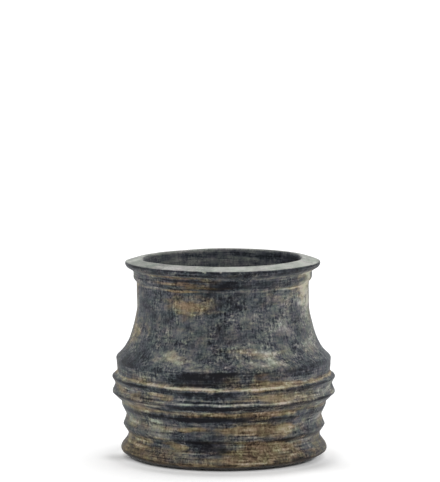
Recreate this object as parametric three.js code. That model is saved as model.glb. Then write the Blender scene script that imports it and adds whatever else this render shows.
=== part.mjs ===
// A hand-turned ceramic flower pot with a flared lip, a collar, a flared neck, a ridged belly and a rounded foot.
// Millimetres, +Z up. The origin is on the floor, on the pot's axis, under the felt pads.
import * as THREE from "three";

// Facets
const FACETS_ROUND = 52; // round the pot, a multiple of 4
const CURVE_STEPS = 5; // along each curved stretch of an outline
const SMALL_FACETS = 32; // round the plug and the pads

// Whole pot, from the floor to the mouth. The shoulder takes up what the other heights leave.
const POT_HEIGHT = 198.4;

// Foot, from the floor up
const PAD_THICKNESS = 1.5;
const PAD_RADIUS = 6;
const PAD_COUNT = 4;
const PAD_INSET = 12.5; // from the foot's edge to the middle of each pad, so that the foot hides the pads
const FOOT_RING_WIDTH = 20; // the flat ring that the pads are stuck to
const FOOT_EDGE_RADIUS = 90.5; // where the flat ring turns up into the rounded edge
const FOOT_BULGE_RADIUS = 102.3;
const FOOT_BULGE_HEIGHT = 8; // above the flat ring
const FOOT_COVE_RADIUS = 95.3;
const FOOT_COVE_RISE = 15; // above the bulge

// Ridges of the belly. Each rise is measured from the feature below it.
const LOW_RIDGE_RADIUS = 99.8;
const LOW_RIDGE_RISE = 8.6;
const WAIST_RADIUS = 96.8;
const WAIST_RISE = 9.8;
const STEP_RADIUS = 101;
const STEP_RISE = 10;
const STEP_FACE = 4; // height of the step's upright face
const MIDDLE_RIDGE_RADIUS = 110.3;
const MIDDLE_RIDGE_RISE = 8.6;
const GROOVE_RADIUS = 107.4;
const GROOVE_RISE = 8.2;
const TOP_RIDGE_RADIUS = 110.2;
const TOP_RIDGE_RISE = 6.6;
const CREST_WIDTH = 1; // the worn flat on the crest of each ridge

// Band and shoulder
const BAND_FOOT_RADIUS = 105.1;
const BAND_FOOT_RISE = 5.6;
const BAND_RADIUS = 106.4; // the upright band under the shoulder leans out a little
const BAND_HEIGHT = 13.7;
const SHOULDER_DRAW_IN = 14.2; // the shoulder leaves the band towards a point this far in
const SHOULDER_DRAW_UP = 10.9; // and this far up
const SHOULDER_HOLLOW = 15.9; // it reaches the neck from a point this far below
const NECK_FLARE = 2; // and this far out

// Mouth, lip, collar and neck, from the top down
const MOUTH_RADIUS = 77.5;
const MOUTH_ROUNDING = 2.5;
const LIP_PROJECTION = 7.2; // beyond the collar
const LIP_SLOPE = 2.9; // the lip's upper face falls this much towards its edge
const LIP_EDGE = 5; // thickness of the lip's outer edge
const LIP_EDGE_SWELL = 2.5; // how far the edge's curve is drawn out
const LIP_UNDERCUT = 0.4; // how far the foot of the edge stands back
const LIP_COVE = 5.4; // height of the hollow under the lip
const COLLAR_PROJECTION = 3.2;
const COLLAR_HEIGHT = 5.1;
const COLLAR_STEP = 6.2; // height of the S-shaped step under the collar
const NECK_RADIUS = 85;
const NECK_HEIGHT = 24.9; // the upright part of the neck

// Walls and floor
const NECK_WALL = 8.8;
const BELLY_WALL = 11;
const BASE_WALL = 10.5;
const FLOOR_THICKNESS = 11;
const FLOOR_CORNER = 10; // radius of the corner between the wall and the floor
const BASE_RECESS = 4; // how far the base is hollowed above the foot ring
const DRAIN_RADIUS = 11;

// Drain plug
const PLUG_CLEARANCE = 0.3; // round the shank, and under the flange
const PLUG_TAPER = 1.2; // how much the shank's radius shrinks towards its tip
const PLUG_PROTRUSION = 2; // how far the tip comes out of the floor's underside
const PLUG_CHAMFER = 1;
const PLUG_FLANGE_OVERLAP = 6; // how far the flange laps the floor round the hole
const PLUG_FLANGE_THICKNESS = 3.5;
const GRIP_NECK_RADIUS = 4.5;
const GRIP_NECK_HEIGHT = 4;
const GRIP_RADIUS = 8;
const GRIP_HEIGHT = 6;

// Heights stacked up from the floor to the band
const footZ = PAD_THICKNESS;
const baseZ = footZ + BASE_RECESS;
const floorZ = baseZ + FLOOR_THICKNESS;
const bulgeZ = footZ + FOOT_BULGE_HEIGHT;
const coveZ = bulgeZ + FOOT_COVE_RISE;
const lowRidgeZ = coveZ + LOW_RIDGE_RISE;
const waistZ = lowRidgeZ + WAIST_RISE;
const stepZ = waistZ + STEP_RISE;
const stepTopZ = stepZ + STEP_FACE;
const middleRidgeZ = stepTopZ + MIDDLE_RIDGE_RISE;
const grooveZ = middleRidgeZ + GROOVE_RISE;
const topRidgeZ = grooveZ + TOP_RIDGE_RISE;
const bandFootZ = topRidgeZ + BAND_FOOT_RISE;
const bandTopZ = bandFootZ + BAND_HEIGHT;

// Heights hung down from the mouth to the neck
const lipTopZ = POT_HEIGHT - LIP_SLOPE;
const lipUnderZ = lipTopZ - LIP_EDGE;
const collarTopZ = lipUnderZ - LIP_COVE;
const collarZ = collarTopZ - COLLAR_HEIGHT;
const collarStepZ = collarZ - COLLAR_STEP;
const neckZ = collarStepZ - NECK_HEIGHT;

// An outline in (radius, height) with curves that leave or reach a point upright. Each share is how far
// along the rise the curve stays upright.
class TurnedOutline extends THREE.Path {
  // Leaves upright and flares to (radius, height).
  flareTo(radius, height, share) {
    const { x, y } = this.currentPoint;
    return this.quadraticCurveTo(x, THREE.MathUtils.lerp(y, height, share), radius, height);
  }

  // Arrives upright at (radius, height).
  settleTo(radius, height, share) {
    const { y } = this.currentPoint;
    return this.quadraticCurveTo(radius, THREE.MathUtils.lerp(height, y, share), radius, height);
  }

  // Leaves and arrives upright, in an S.
  swingTo(radius, height, leaveShare, arriveShare = leaveShare) {
    const { x, y } = this.currentPoint;
    const leaveZ = THREE.MathUtils.lerp(y, height, leaveShare);
    const arriveZ = THREE.MathUtils.lerp(height, y, arriveShare);
    return this.bezierCurveTo(x, leaveZ, radius, arriveZ, radius, height);
  }
}

// Turns a closed (radius, height) outline round the Z axis.
function turned(outline, facets) {
  const geometry = new THREE.LatheGeometry(outline.getPoints(CURVE_STEPS), facets);
  geometry.rotateX(Math.PI / 2);
  return geometry;
}

function ridgedBelly(outline) {
  const crest = CREST_WIDTH / 2;
  outline.settleTo(FOOT_BULGE_RADIUS, bulgeZ, 0.7);
  outline.swingTo(FOOT_COVE_RADIUS, coveZ, 0.28, 0.45);
  outline.flareTo(LOW_RIDGE_RADIUS, lowRidgeZ - crest, 0.35);
  outline.lineTo(LOW_RIDGE_RADIUS, lowRidgeZ + crest);
  outline.settleTo(WAIST_RADIUS, waistZ, 0.3);
  outline.flareTo(STEP_RADIUS, stepZ, 0.15);
  outline.lineTo(STEP_RADIUS, stepTopZ);
  outline.flareTo(MIDDLE_RIDGE_RADIUS, middleRidgeZ - crest, 0.1);
  outline.lineTo(MIDDLE_RIDGE_RADIUS, middleRidgeZ + crest);
  outline.settleTo(GROOVE_RADIUS, grooveZ, 0.3);
  outline.flareTo(TOP_RIDGE_RADIUS, topRidgeZ - crest, 0.35);
  outline.lineTo(TOP_RIDGE_RADIUS, topRidgeZ + crest);
  outline.settleTo(BAND_FOOT_RADIUS, bandFootZ, 0.25);
}

function shoulderAndNeck(outline) {
  const edge = CREST_WIDTH / 2;
  outline.lineTo(BAND_RADIUS, bandTopZ - edge);
  outline.lineTo(BAND_RADIUS - edge, bandTopZ + edge);
  outline.bezierCurveTo(
    BAND_RADIUS - SHOULDER_DRAW_IN, bandTopZ + SHOULDER_DRAW_UP,
    NECK_RADIUS + NECK_FLARE, neckZ - SHOULDER_HOLLOW,
    NECK_RADIUS, neckZ,
  );
  outline.lineTo(NECK_RADIUS, collarStepZ);
}

function collarAndLip(outline) {
  const collarRadius = NECK_RADIUS + COLLAR_PROJECTION;
  const lipRadius = collarRadius + LIP_PROJECTION;
  outline.swingTo(collarRadius, collarZ, 0.5);
  outline.lineTo(collarRadius, collarTopZ);
  outline.flareTo(lipRadius - LIP_UNDERCUT, lipUnderZ, 0.3);
  outline.quadraticCurveTo(lipRadius + LIP_EDGE_SWELL, lipTopZ - LIP_EDGE / 3, lipRadius, lipTopZ);
  outline.lineTo(MOUTH_RADIUS + MOUTH_ROUNDING, POT_HEIGHT);
  outline.quadraticCurveTo(MOUTH_RADIUS, POT_HEIGHT, MOUTH_RADIUS, POT_HEIGHT - MOUTH_ROUNDING);
}

function inside(outline) {
  const baseInside = FOOT_COVE_RADIUS - BASE_WALL;
  outline.lineTo(NECK_RADIUS - NECK_WALL, neckZ);
  outline.swingTo(BAND_FOOT_RADIUS - BELLY_WALL, bandFootZ, 0.45);
  outline.swingTo(WAIST_RADIUS - BASE_WALL, waistZ, 0.25);
  outline.lineTo(baseInside, floorZ + FLOOR_CORNER);
  outline.quadraticCurveTo(baseInside, floorZ, baseInside - FLOOR_CORNER, floorZ);
}

function base(outline) {
  const ringInside = FOOT_EDGE_RADIUS - FOOT_RING_WIDTH;
  outline.lineTo(DRAIN_RADIUS, floorZ);
  outline.lineTo(DRAIN_RADIUS, baseZ);
  outline.lineTo(ringInside - BASE_RECESS, baseZ);
  outline.lineTo(ringInside, footZ);
  outline.lineTo(FOOT_EDGE_RADIUS, footZ);
}

function potGeometry() {
  const outline = new TurnedOutline();
  outline.moveTo(FOOT_EDGE_RADIUS, footZ);
  ridgedBelly(outline);
  shoulderAndNeck(outline);
  collarAndLip(outline);
  inside(outline);
  base(outline);
  return turned(outline, FACETS_ROUND);
}

function plugGeometry() {
  const shank = DRAIN_RADIUS - PLUG_CLEARANCE;
  const tip = shank - PLUG_TAPER;
  const flange = DRAIN_RADIUS + PLUG_FLANGE_OVERLAP;
  const tipZ = baseZ - PLUG_PROTRUSION;
  const seatZ = floorZ + PLUG_CLEARANCE;
  const flangeTopZ = seatZ + PLUG_FLANGE_THICKNESS;
  const gripZ = flangeTopZ + GRIP_NECK_HEIGHT;
  const outline = new TurnedOutline();
  outline.moveTo(0, tipZ);
  outline.lineTo(tip - PLUG_CHAMFER, tipZ);
  outline.lineTo(tip, tipZ + PLUG_CHAMFER);
  outline.lineTo(shank, seatZ);
  outline.lineTo(flange, seatZ);
  outline.lineTo(flange, seatZ + PLUG_FLANGE_THICKNESS / 2);
  outline.quadraticCurveTo(flange, flangeTopZ, flange - PLUG_FLANGE_THICKNESS, flangeTopZ);
  outline.lineTo(GRIP_NECK_RADIUS, flangeTopZ);
  outline.lineTo(GRIP_NECK_RADIUS, gripZ);
  outline.quadraticCurveTo(GRIP_RADIUS, gripZ, GRIP_RADIUS, gripZ + GRIP_HEIGHT / 2);
  outline.quadraticCurveTo(GRIP_RADIUS, gripZ + GRIP_HEIGHT, 0, gripZ + GRIP_HEIGHT);
  return turned(outline, SMALL_FACETS);
}

function padMesh(index, material) {
  const geometry = new THREE.CylinderGeometry(PAD_RADIUS, PAD_RADIUS, PAD_THICKNESS, SMALL_FACETS);
  geometry.rotateX(Math.PI / 2);
  const pad = new THREE.Mesh(geometry, material);
  const angle = ((index + 0.5) * 2 * Math.PI) / PAD_COUNT;
  const radius = FOOT_EDGE_RADIUS - PAD_INSET;
  pad.position.set(radius * Math.cos(angle), radius * Math.sin(angle), PAD_THICKNESS / 2);
  pad.name = `felt_pad_${index + 1}`;
  return pad;
}

const ceramic = new THREE.MeshStandardMaterial({ color: 0x3f4144, roughness: 0.8, metalness: 0 });
const rubber = new THREE.MeshStandardMaterial({ color: 0x1c1c1d, roughness: 0.7, metalness: 0 });
const felt = new THREE.MeshStandardMaterial({ color: 0x2a2725, roughness: 1, metalness: 0 });

const pot = new THREE.Mesh(potGeometry(), ceramic);
pot.name = "pot_body";
const plug = new THREE.Mesh(plugGeometry(), rubber);
plug.name = "drain_plug";

const flowerPot = new THREE.Group();
flowerPot.add(pot, plug);
for (let index = 0; index < PAD_COUNT; index += 1) {
  flowerPot.add(padMesh(index, felt));
}

export default flowerPot;
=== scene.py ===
"""A weathered, hand-turned ceramic flower pot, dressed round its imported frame. Metres, +Z up."""

import math

import bpy
import numpy as np
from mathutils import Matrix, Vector


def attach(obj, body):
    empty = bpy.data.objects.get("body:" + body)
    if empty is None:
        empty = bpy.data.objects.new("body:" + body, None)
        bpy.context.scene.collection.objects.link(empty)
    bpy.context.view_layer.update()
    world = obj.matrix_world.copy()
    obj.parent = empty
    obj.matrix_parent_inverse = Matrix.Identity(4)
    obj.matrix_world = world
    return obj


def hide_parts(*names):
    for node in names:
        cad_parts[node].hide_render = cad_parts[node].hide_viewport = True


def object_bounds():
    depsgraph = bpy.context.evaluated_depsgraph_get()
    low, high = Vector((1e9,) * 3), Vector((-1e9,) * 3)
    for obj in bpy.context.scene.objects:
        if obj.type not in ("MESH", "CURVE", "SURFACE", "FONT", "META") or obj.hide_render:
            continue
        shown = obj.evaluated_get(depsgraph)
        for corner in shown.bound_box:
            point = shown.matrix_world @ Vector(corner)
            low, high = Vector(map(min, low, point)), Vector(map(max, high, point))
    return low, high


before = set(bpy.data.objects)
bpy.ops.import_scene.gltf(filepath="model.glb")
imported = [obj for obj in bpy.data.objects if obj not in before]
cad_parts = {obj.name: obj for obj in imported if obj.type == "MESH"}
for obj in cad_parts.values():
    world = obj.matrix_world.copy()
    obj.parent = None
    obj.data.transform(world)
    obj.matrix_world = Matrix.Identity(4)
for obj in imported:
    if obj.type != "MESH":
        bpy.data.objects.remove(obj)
cad_low, cad_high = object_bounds()

MM = 0.001

# The photograph's frame in pixels, and its camera: places in metres, the sensor in millimetres
PHOTO_HEIGHT = 482
PHOTO_MIDDLE_COLUMN = 220
POT_AXIS_COLUMN = 222.9
FOCAL_PIXELS = 3609.2
CAMERA_DISTANCE = 3.5372
CAMERA_HEIGHT = 0.6206
CAMERA_TILT = math.radians(6.558)
SENSOR_WIDTH = 36.0

# How a turned outline is cut from a CAD node, what counts as on the axis and as a straight stretch, and how
# much more height counts than radius, so that an outline starts at the outermost of its lowest points
SECTION_TURN = math.radians(0.5)
AXIS_REACH = 0.5 * MM
HEIGHT_COUNTS = 100
STRAIGHT_TURN = 0.004

# The pot's surface mesh: how far apart its rings are, and where each distance holds
ANGLES = 320
FINE_SPACING = 0.2 * MM
RIDGE_SPACING = 0.75 * MM
FOOT_SPACING = 1.1 * MM
NECK_SPACING = 1.7 * MM
INSIDE_SPACING = 5.0 * MM
BASE_SPACING = 7.0 * MM
RIDGES_START = 47 * MM
NECK = (101 * MM, 171 * MM)
MOUTH_EDGE = 6 * MM
FLOOR_CORNER = 18 * MM

# What turn is a sharp corner, how many times longer than its neighbour a straight stretch is, and how far a
# corner is worn round
CORNER_ANGLE = math.radians(32)
STRAIGHT_SHARE = 2.2
WORN_CORNER = 0.45 * MM

# The plug and the pads
PLUG_ANGLES = 96
PLUG_SPACING = 0.6 * MM
PAD_ANGLES = 64
PAD_EDGE = 0.25 * MM
PAD_UNEVENNESS = 0.008

# Irregularities of the hand-turned surface in millimetres, the share of the dents inside, and the lean
SWELL = 0.30
DENTS = 0.22
INSIDE_DENTS = 0.5
TURNING_LINES = 0.10
LEAN_AT_FOOT = 1.3
LEAN_AT_TOP = -0.2

# Noise: the waves in an octave, how much weaker the next octave is, and what brings the sum to about 1
NOISE_WAVES = 6
NOISE_FALL = 1.7
NOISE_SCALE = 4

# Where the pot is fuller than its drawn outline: height, half height and how much, in millimetres
FULLNESS = (
    (125, 14, 0.3),
    (82, 7, 0.2),
    (59, 3, 1.0),
    (50, 4, 0.4),
    (29, 3, 0.7),
    (22, 8, -0.4),
)

# How uneven and how much lower the rim is, in millimetres. The rows of places round the pot, here and below,
# give degrees round from the front, a spread in degrees and how much
RIM_UNEVENNESS = 0.2
RIM_LOWER = 0.25
RIM_LOW_PLACES = ((-35, 30, 0.3), (-130, 50, 1.1), (180, 40, 0.4))
RIM_HEIGHTS = (130 * MM, 190 * MM)

# Where the lip's edge droops
LIP_DROOPS = ((108, 15, 1.0), (-110, 15, 1.0))
LIP_EDGE_RADII = (86 * MM, 95.5 * MM)
LIP_EDGE_HEIGHTS = (186 * MM, 194 * MM)

# Where the mouth is wider
WIDER_MOUTH = ((-69, 12, 3.3),)
MOUTH_RADII = (81 * MM, 87 * MM)
MOUTH_HEIGHTS = (184 * MM, 193 * MM)

# How much of the foot's edge is worn away, all round and on a side that fades in and out over these radians
WORN_FOOT = 0.1
WORN_FOOT_SIDE = 0.8
WORN_SIDE_STARTS = (0.0, 1.2)
WORN_SIDE_ENDS = (1.6, 2.6)
FOOT_EDGE_RADII = (86 * MM, 90.5 * MM)
FOOT_EDGE_HEIGHTS = (2 * MM, 12 * MM)

# Tones of the surface from the darkest wash to the palest bare clay, as they look, from 0 to 255:
# cool where the slate wash lies thick, warm where ochre clay comes through
COOL_TONES = (
    (0.00, (20, 21, 28)),
    (0.22, (54, 59, 66)),
    (0.40, (87, 92, 98)),
    (0.60, (119, 122, 120)),
    (0.80, (151, 155, 149)),
    (1.00, (190, 193, 187)),
)
WARM_TONES = (
    (0.00, (32, 26, 20)),
    (0.22, (69, 58, 45)),
    (0.40, (107, 93, 73)),
    (0.60, (141, 127, 100)),
    (0.80, (171, 158, 129)),
    (1.00, (208, 201, 179)),
)

# The faint greenish and pinkish casts that the tones are multiplied by
FAINT_TINTS = ((0.32, (237, 247, 237)), (0.68, (249, 238, 246)))

RUBBER_TONES = ((0.3, (26, 26, 27)), (0.7, (40, 39, 39)))
FELT_TONES = ((0.3, (34, 31, 28)), (0.7, (66, 61, 56)))

# The layers of the pot's surface. Light goes from 0 for black wash to 1 for bare pale clay, warm from 0 for
# blue-grey wash to 1 for ochre clay, chalk is how dense the pale scratches are, and pink goes from -1 for a
# greenish cast to 1 for a pinkish one. Each starts from its ground, clouded by its unevenness. Light also
# carries the painted highlights and painted shade that some bands and places below give
GROUND = {"light": 0.38, "warm": 0.12, "chalk": 0.35, "pink": 0}
INSIDE_GROUND = {"light": 0.37, "warm": -0.3, "chalk": 0.2, "pink": 0.1}
UNEVENNESS = {"light": 0.05, "warm": 0.12, "chalk": 0.25, "pink": 0}
INSIDE_SMOOTHNESS = 0.5

# The lip's pale top, partly worn paler clay and partly a painted highlight where its upward face catches the
# light: where it lies, its layers, and where it is paler or darker
LIP_TOP_HEIGHTS = (194.0 * MM, 194.8 * MM)
LIP_TOP_STARTS = (77.5 * MM, 79.0 * MM)
LIP_TOP_ENDS = (95.0 * MM, 95.8 * MM)
LIP_LIGHT = 0.89
LIP_WARM = 0.02
LIP_UNEVENNESS = 0.04
LIP_TONES = (
    (-47, 9, -0.17),
    (-68, 12, -0.11),
    (-11, 8, -0.11),
    (7, 12, 0.08),
    (33, 8, -0.07),
    (64, 4, 0.09),
    (74, 8, 0.04),
)

# Where the neck's woven strokes take over from the turned streaks of the ridges, and give way to the collar's
WOVEN_STARTS = (88 * MM, 104 * MM)
WOVEN_ENDS = (168 * MM, 176 * MM)

# How ragged the edges of the bands and places are, and at how many half widths a place has faded out
RAGGED = 0.35 * MM
BAND_UNEVENNESS = 0.3
PLACE_SHIFT = 0.035
PLACE_FRINGE = 0.25
PLACE_REACH = 1.45


def band(height, tall, rise=0, **amounts):
    """A band right round: height and half height in millimetres, and how much higher it lies at the sides."""
    return height * MM, tall * MM, rise * MM, amounts


def place(angle, height, wide, tall, **amounts):
    """A place on the wall: degrees round from the front, then height, half width and half height in mm."""
    return math.radians(angle), height * MM, wide * MM, tall * MM, amounts


# The light band at 81.7 mm, which climbs at the sides where the light from above catches it, and the one at
# 67.4 mm are painted highlights on the ridges' crests, the upper one on warmer clay; the dark bands at 78.8
# and 64.0 mm are painted shade under the crests
BANDS = (
    band(194.6, 1.3, light=-0.24),
    band(190.6, 2.0, light=-0.12, warm=0.1),
    band(187.0, 1.2, light=0.06, warm=0.1),
    band(174.2, 0.9, light=0.14, warm=0.15),
    band(97.0, 2.4, light=-0.12),
    band(81.7, 1.4, rise=3.2, light=0.40, warm=0.6),
    band(85.0, 2.0, rise=1.5, light=-0.02, warm=0.25),
    band(78.8, 1.3, rise=2.2, light=-0.20),
    band(67.4, 0.8, light=0.24, warm=0.1),
    band(64.0, 1.9, rise=1.2, light=-0.22),
    band(57.0, 2.2, light=0.10, warm=0.45),
    band(51.2, 2.2, light=-0.30),
    band(40.5, 4.5, light=0.10, warm=0.3),
    band(28.8, 1.6, light=-0.14, warm=0.2),
    band(18.8, 1.5, light=0.08, warm=0.2),
    band(13.0, 8.0, light=0.02, warm=0.35),
    band(6.2, 2.6, warm=0.4),
    band(4.4, 2.4, light=-0.20, warm=0.3),
)

# The lighter places at the right edge, 72 to 77 degrees round, and the tall strip at -80 degrees on the
# neck's left are partly painted side light at the pot's edges and partly paler clay
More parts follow.
